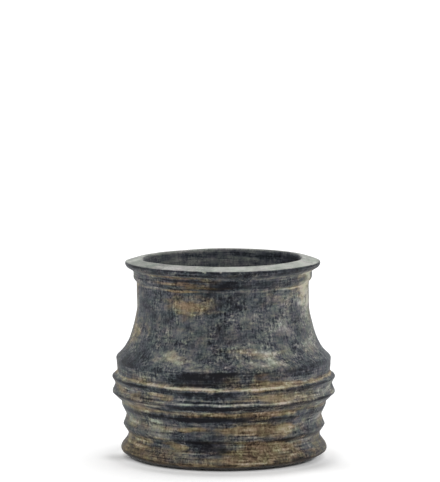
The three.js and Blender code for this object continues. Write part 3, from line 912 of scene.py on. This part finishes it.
def wave_noise(angle, height, seed, across, up, octaves=3):
    """Smooth noise from about -1 to 1 that joins up round the pot, by waves to a turn and up to a metre."""
    random = np.random.default_rng(seed)
    total = 0
    for octave in range(octaves):
        for _ in range(NOISE_WAVES):
            turns = random.integers(1, max(2, across * 2**octave) + 1)
            rise = random.normal(0, up * 2**octave)
            phase = random.uniform(0, 2 * math.pi)
            total = total + np.sin(turns * angle + 2 * math.pi * rise * height + phase) / NOISE_FALL**octave
    return total / NOISE_SCALE


def bump_round(angle, middle, spread):
    """One round the pot at an angle in degrees, falling off to nought over a spread in degrees."""
    away = (angle - math.radians(middle) + math.pi) % (2 * math.pi) - math.pi
    return np.exp(-((away / math.radians(spread)) ** 2))


def bumps_round(angle, rows):
    return sum(much * bump_round(angle, middle, spread) for middle, spread, much in rows)


def handmade(angle, radius, height, outside):
    """The turned surface as (x, y, z), with its lean, dents, uneven rim, wider mouth and worn foot."""
    swell = SWELL * wave_noise(angle, height, seed=11, across=3, up=4)
    dents = DENTS * wave_noise(angle, height, seed=12, across=14, up=30)
    turning = TURNING_LINES * wave_noise(angle, height, seed=13, across=1, up=260, octaves=1)
    full = sum(much * np.exp(-(((height / MM - middle) / tall) ** 2)) for middle, tall, much in FULLNESS)
    mouth = (1 - smooth_step(radius, *MOUTH_RADII)) * smooth_step(height, *MOUTH_HEIGHTS)
    mouth = mouth * bumps_round(angle, WIDER_MOUTH)
    moved = radius + (swell + np.where(outside, dents + turning + full, INSIDE_DENTS * dents) + mouth) * MM
    lean = (LEAN_AT_FOOT + (LEAN_AT_TOP - LEAN_AT_FOOT) * height / cad_high.z) * MM
    rim = RIM_UNEVENNESS * wave_noise(angle, height, seed=14, across=5, up=0)
    rim = (rim - RIM_LOWER - bumps_round(angle, RIM_LOW_PLACES)) * smooth_step(height, *RIM_HEIGHTS)
    lip_edge = smooth_step(radius, *LIP_EDGE_RADII) * smooth_step(height, *LIP_EDGE_HEIGHTS)
    droop = lip_edge * bumps_round(angle, LIP_DROOPS)
    foot_edge = smooth_step(radius, *FOOT_EDGE_RADII) * (1 - smooth_step(height, *FOOT_EDGE_HEIGHTS))
    worn_side = smooth_step(angle, *WORN_SIDE_STARTS) * (1 - smooth_step(angle, *WORN_SIDE_ENDS))
    worn_foot = foot_edge * (WORN_FOOT_SIDE * worn_side + WORN_FOOT)
    raised = height + (rim - droop + worn_foot) * MM
    return np.stack([moved * np.sin(angle) + lean, -moved * np.cos(angle), raised], -1)


def strewn_places(seed):
    """Places like the ones above, by chance, where the photograph does not look."""
    random = np.random.default_rng(seed)
    places = []
    for _ in range(UNSEEN_PLACES):
        angle = random.uniform(*UNSEEN_ANGLES)
        height = random.uniform(*UNSEEN_HEIGHTS)
        wide = random.uniform(*UNSEEN_WIDTHS)
        tallness = RIDGE_TALLNESS if height < UNSEEN_NECK else NECK_TALLNESS
        tall = wide * random.uniform(*tallness)
        light = random.choice(UNSEEN_LIGHT)
        warm = max(0, random.normal(*UNSEEN_WARM)) * (light > 0)
        places.append(place(angle, height, wide, tall, light=light, warm=warm))
    return tuple(places)


def layer_sum(name, angle, radius, height, bands, places):
    """How much of a layer the bands and the places give, their outlines ragged by noise."""
    ragged = height + RAGGED * wave_noise(angle, height, seed=21, across=14, up=30)
    total = 0
    for middle, tall, rise, amounts in bands:
        seed = round(middle / MM * 10)
        uneven = 1 + BAND_UNEVENNESS * wave_noise(angle, height, seed, across=9, up=4)
        away = ragged - middle - rise * np.sin(angle) ** 2
        total = total + amounts.get(name, 0) * uneven * np.exp(-((away / tall) ** 2))
    shifted = angle + PLACE_SHIFT * wave_noise(angle, height, seed=22, across=18, up=50)
    fringe = PLACE_FRINGE * wave_noise(angle, height, seed=23, across=20, up=60)
    for turn, middle, wide, tall, amounts in places:
        if name in amounts:
            away = (shifted - turn + math.pi) % (2 * math.pi) - math.pi
            reach = np.sqrt((away * radius / wide) ** 2 + ((ragged - middle) / tall) ** 2)
            total = total + amounts[name] * smooth_step(PLACE_REACH - reach + fringe, 0, 1)
    return total


def add_attribute(mesh, name, values):
    layer = mesh.attributes.new(name, "FLOAT", "POINT")
    layer.data.foreach_set("value", values.astype(np.float32).ravel())


def pot_mesh():
    outline, outline_share, outside_rings = spaced(rounded(straightened(section("pot_body"))))
    rings = len(outline)
    angle = np.arange(ANGLES) * 2 * math.pi / ANGLES - math.pi
    angle, radius = np.meshgrid(angle, outline[:, 0])
    height = np.repeat(outline[:, 1:], ANGLES, 1)
    outside = np.repeat(outside_rings[:, None], ANGLES, 1)
    places = handmade(angle, radius, height, outside)
    ring, spoke = np.meshgrid(np.arange(rings), np.arange(ANGLES), indexing="ij")
    next_ring, next_spoke = (ring + 1) % rings, (spoke + 1) % ANGLES
    quads = np.stack(
        [ring * ANGLES + spoke, ring * ANGLES + next_spoke,
         next_ring * ANGLES + next_spoke, next_ring * ANGLES + spoke], -1
    ).reshape(-1, 4)
    mesh = bpy.data.meshes.new("pot")
    mesh.from_pydata(places.reshape(-1, 3), [], quads)
    mesh.polygons.foreach_set("use_smooth", np.ones(len(quads), bool))
    share = np.append(outline_share, 1)
    corner_u = np.stack([spoke, spoke + 1, spoke + 1, spoke], -1) / ANGLES
    corner_v = np.stack([share[ring], share[ring], share[ring + 1], share[ring + 1]], -1)
    unwrapped = mesh.uv_layers.new(name="OFBake")
    unwrapped.data.foreach_set("uv", np.stack([corner_u, corner_v], -1).ravel())
    return mesh, angle, radius, height, outside


def pot_wear(mesh, angle, radius, height, outside):
    """Lays the layers down on the mesh, and marks where the surface is smooth and where it is ridged."""
    # The lip's top is made pale: partly worn clay, partly a painted highlight of its upward face
    top = smooth_step(height, *LIP_TOP_HEIGHTS) * smooth_step(radius, *LIP_TOP_STARTS)
    top = top * (1 - smooth_step(radius, *LIP_TOP_ENDS))
    lip_light = LIP_LIGHT + bumps_round(angle, LIP_TONES)
    lip_light = lip_light + LIP_UNEVENNESS * wave_noise(angle, height, seed=29, across=24, up=0)
    lip = {"light": lip_light, "warm": LIP_WARM}
    outside_places = PLACES + strewn_places(seed=7)
    for number, name in enumerate(GROUND):
        cloud = UNEVENNESS[name] * wave_noise(angle, height, seed=30 + number, across=5, up=12)
        outer = GROUND[name] + layer_sum(name, angle, radius, height, BANDS, outside_places)
        inner = INSIDE_GROUND[name] + layer_sum(name, angle, radius, height, INSIDE_BANDS, INSIDE_PLACES)
        amount = np.where(outside, outer, inner) + cloud
        if name in lip:
            amount = amount + top * (lip[name] - amount)
        add_attribute(mesh, name, amount)
    add_attribute(mesh, "smooth", np.where(outside, top, np.maximum(top, INSIDE_SMOOTHNESS)))
    ridged = 1 - smooth_step(height, *WOVEN_STARTS) + smooth_step(height, *WOVEN_ENDS)
    add_attribute(mesh, "ridged", np.where(outside, ridged, 1))


def worn_grain(made):
    """The fine strokes and flecks of the worn wash: woven on the neck, streaked by turning on the ridges."""
    worked = made.step(made.noise(17, detail=2, distortion=0.4), 0.42, 0.60)
    long_streaks = made.noise(28, stretch=(1, 1, 16), detail=3, roughness=0.6)
    flat_strokes = made.noise(9, stretch=(1, 1, 4), detail=3, roughness=0.6)
    upright_strokes = made.noise(10, stretch=(5, 5, 1), detail=3, roughness=0.6)
    speckle = made.noise(2.0, detail=2, roughness=0.6)
    woven = made.centred((0.9, flat_strokes), (1.1, upright_strokes), (1.0, speckle))
    turned = made.centred((1.6, long_streaks), (0.8, upright_strokes), (0.8, speckle), (0.5, flat_strokes))
    texture = made.blend(made.attribute("ridged"), woven, turned)
    amount = made.step(made.attribute("light"), 0.0, 0.32, 0.45, 1.0)
    amount = made.times(made.sum(0.55, (0.75, worked)), amount)
    flecks = made.step(made.noise(2.8, stretch=(1.4, 1.4, 1), detail=2, roughness=0.7), 0.57, 0.70)
    flecks = made.times(made.times(flecks, worked), made.attribute("chalk"))
    return made.sum(0.0, (0.83, made.times(texture, amount)), (0.60, flecks))


def aged_ceramic():
    made = Material("aged_ceramic")
    rough = made.sum(1.0, (-0.55, made.attribute("smooth")))
    grain = made.times(worn_grain(made), rough)
    cloud = made.noise(26, detail=3, roughness=0.6)
    mottle = made.noise(8, detail=4, roughness=0.6)
    daubs = made.step(made.noise(12, stretch=(1, 1, 1.8), detail=2, distortion=0.8), 0.44, 0.58)
    columns = made.step(made.noise(15, stretch=(3, 3, 1), detail=3, distortion=0.3), 0.45, 0.58)
    patches = made.centred((0.3, cloud), (0.3, mottle), (0.10, daubs), (0.08, columns))
    light = made.sum(made.attribute("light"), (1.0, grain), (1.0, made.times(patches, rough)))
    streaks = made.noise(9, stretch=(1, 1, 4), detail=3, roughness=0.6)
    warm = made.sum(made.attribute("warm"), (1.0, made.centred((0.6, cloud), (0.8, mottle), (0.4, streaks))))
    warm = made.step(warm, 0.0, 1.0)
    colour = made.mix(warm, made.ramp(light, COOL_TONES), made.ramp(light, WARM_TONES))
    cast = made.centred((1.0, made.noise(11, stretch=(1, 1, 1.6), detail=3)))
    cast = made.sum(0.5, (1.0, made.times(cast, rough)), (0.3, made.attribute("pink")))
    colour = made.mix(1.0, colour, made.ramp(cast, FAINT_TINTS), kind="MULTIPLY")
    made.set("Base Color", colour)
    made.set("Roughness", made.step(light, 0.0, 1.0, 0.55, 0.85))
    made.set("Specular IOR Level", 0.12)
    made.set("Sheen Weight", 0.15)
    made.set("Sheen Roughness", 0.3)
    made.set("Normal", made.bump(grain, 0.6 * MM))
    return made.material


def dress(name, mesh, body, node, material, location=(0, 0, 0)):
    """Puts a piece on the frame in place of a CAD node."""
    mesh.materials.append(material)
    piece = bpy.data.objects.new(name, mesh)
    piece.location = location
    bpy.context.scene.collection.objects.link(piece)
    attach(piece, body)
    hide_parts(node)


def make_pot():
    mesh, angle, radius, height, outside = pot_mesh()
    pot_wear(mesh, angle, radius, height, outside)
    dress("turned_pot", mesh, "pot", "pot_body", aged_ceramic())


make_pot()


# Drain plug and felt pads

def turned_mesh(name, points, angles):
    """A solid turned from an open (radius, height) outline that starts and ends on the axis."""
    turns = np.arange(angles) * 2 * math.pi / angles
    radius, height = points[1:-1, :1], points[1:-1, 1:]
    rings = len(radius)
    places = np.stack([radius * np.sin(turns), -radius * np.cos(turns), height + 0 * turns], -1)
    ends = [(0, 0, points[0][1]), (0, 0, points[-1][1])]
    places = np.concatenate([places.reshape(-1, 3), ends])
    below, above = rings * angles, rings * angles + 1
    faces = []
    for k in range(angles):
        after = (k + 1) % angles
        faces.append((below, after, k))
        faces.append((above, (rings - 1) * angles + k, (rings - 1) * angles + after))
        for ring in range(rings - 1):
            low = ring * angles
            faces.append((low + k, low + after, low + angles + after, low + angles + k))
    mesh = bpy.data.meshes.new(name)
    mesh.from_pydata(places, [], faces)
    mesh.polygons.foreach_set("use_smooth", np.ones(len(faces), bool))
    return mesh


def half_section(node):
    """The smooth outline of a solid turned node, from the axis below, up the outside, to the axis above."""
    points = section(node)
    fine = rounded(straightened(np.vstack([points, (points * (-1, 1))[::-1]])))
    left = np.flatnonzero(fine[:, 0] <= 0)
    fine = np.roll(fine, -left[-1] - 1, 0)
    fine = fine[fine[:, 0] > 0]
    every = round(PLUG_SPACING / FINE_SPACING)
    return np.vstack([(0, fine[0][1]), fine[::every], (0, fine[-1][1])])


def black_rubber():
    made = Material("rubber")
    cloud = made.noise(7, detail=3)
    grain = made.noise(0.5, detail=2)
    made.set("Base Color", made.ramp(cloud, RUBBER_TONES))
    made.set("Roughness", made.step(grain, 0.3, 0.7, 0.5, 0.7))
    made.set("Normal", made.bump(grain, 0.1 * MM))
    return made.material


def pressed_felt():
    made = Material("felt")
    fibres = made.noise(0.7, stretch=(1, 1, 3), detail=4, roughness=0.7, distortion=1.5)
    made.set("Base Color", made.ramp(fibres, FELT_TONES))
    made.set("Roughness", 1.0)
    made.set("Specular IOR Level", 0.1)
    made.set("Normal", made.bump(fibres, 0.5 * MM))
    return made.material


def make_plug():
    mesh = turned_mesh("moulded_plug", half_section("drain_plug"), PLUG_ANGLES)
    dress("moulded_plug", mesh, "plug", "drain_plug", black_rubber())


def make_pads():
    felt = pressed_felt()
    for number in range(1, 5):
        node = f"felt_pad_{number}"
        places = np.array([v.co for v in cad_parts[node].data.vertices])
        low, high = places.min(0), places.max(0)
        middle = (low + high) / 2
        reach, tall = (high[0] - low[0]) / 2, high[2] - low[2]
        edged = reach - PAD_EDGE
        profile = [(0, 0), (edged, 0), (reach, PAD_EDGE), (reach, tall - PAD_EDGE), (edged, tall), (0, tall)]
        mesh = turned_mesh(f"pressed_pad_{number}", np.array(profile), PAD_ANGLES)
        uneven = np.random.default_rng(40 + number)
        for vertex in mesh.vertices:
            if math.hypot(vertex.co.x, vertex.co.y) > edged - PAD_EDGE:
                vertex.co.x *= 1 + uneven.normal(0, PAD_UNEVENNESS)
                vertex.co.y *= 1 + uneven.normal(0, PAD_UNEVENNESS)
        dress(f"pressed_pad_{number}", mesh, "pot", node, felt, (middle[0], middle[1], low[2]))


make_plug()
make_pads()


# Floor, light and camera

def make_floor():
    made = Material("floor")
    made.set("Base Color", FLOOR_COLOUR)
    made.set("Roughness", 0.9)
    made.set("Specular IOR Level", 0.1)
    # The glow only the camera sees paints the shadow's shape: lighter beside the foot and away from the
    # shadow's middle, darker at the painted shadow spots
    away = made.distance((0, 0, 0))
    lift = made.step(made.distance(PAINTED_SHADOW_MIDDLE), *FLOOR_LIFT_REACH, *FLOOR_LIFT)
    lift = made.sum(lift, (1.0, made.step(away, *CONTACT_REACH, CONTACT_LIFT, 0.0)))
    for middle, reach, depth in PAINTED_SHADOW_SPOTS:
        lift = made.sum(lift, (1.0, made.step(made.distance(middle), 0, reach, -depth, 0)))
    lift = made.times(lift, made.step(away, *GLOW_START))
    glow = made.node("ShaderNodeEmission")
    made.link(made.times(made.shown(0.0), lift), glow.inputs["Strength"])
    both = made.node("ShaderNodeAddShader")
    made.link(made.shader.outputs["BSDF"], both.inputs[0])
    made.link(glow.outputs["Emission"], both.inputs[1])
    made.link(both.outputs["Shader"], made.output.inputs["Surface"])
    mesh = bpy.data.meshes.new("floor")
    corners = FLOOR_HALF_WIDTH * np.array([(-1, -1, 0), (1, -1, 0), (1, 1, 0), (-1, 1, 0)])
    mesh.from_pydata(corners, [], [(0, 1, 2, 3)])
    mesh.materials.append(made.material)
    floor = bpy.data.objects.new("floor", mesh)
    bpy.context.scene.collection.objects.link(floor)


def make_sun():
    data = bpy.data.lights.new("soft_sun", "SUN")
    data.angle = SUN_SPREAD
    data.energy = SUN_LIGHT * math.pi
    lamp = bpy.data.objects.new("soft_sun", data)
    lamp.rotation_mode = "QUATERNION"
    lamp.rotation_quaternion = Vector(SUN_TOWARDS).to_track_quat("Z", "Y")
    bpy.context.scene.collection.objects.link(lamp)


def make_world():
    world = bpy.data.worlds.new("studio")
    world.use_nodes = True
    bpy.context.scene.world = world
    made = Nodes(world.node_tree)
    background = world.node_tree.nodes["Background"]
    made.link(made.shown(WORLD_LIGHT), background.inputs["Strength"])
    background.inputs["Color"].default_value = (1, 1, 1, 1)


def make_camera():
    data = bpy.data.cameras.new("camera")
    data.sensor_width = SENSOR_WIDTH
    data.lens = SENSOR_WIDTH * FOCAL_PIXELS / PHOTO_HEIGHT
    camera = bpy.data.objects.new("camera", data)
    aside = (PHOTO_MIDDLE_COLUMN - POT_AXIS_COLUMN) * CAMERA_DISTANCE / FOCAL_PIXELS
    camera.location = (aside, -CAMERA_DISTANCE, CAMERA_HEIGHT)
    camera.rotation_euler = (math.pi / 2 - CAMERA_TILT, 0, 0)
    bpy.context.scene.collection.objects.link(camera)
    bpy.context.scene.camera = camera


make_floor()
make_sun()
make_world()
make_camera()
bpy.context.scene.view_settings.view_transform = "Standard"
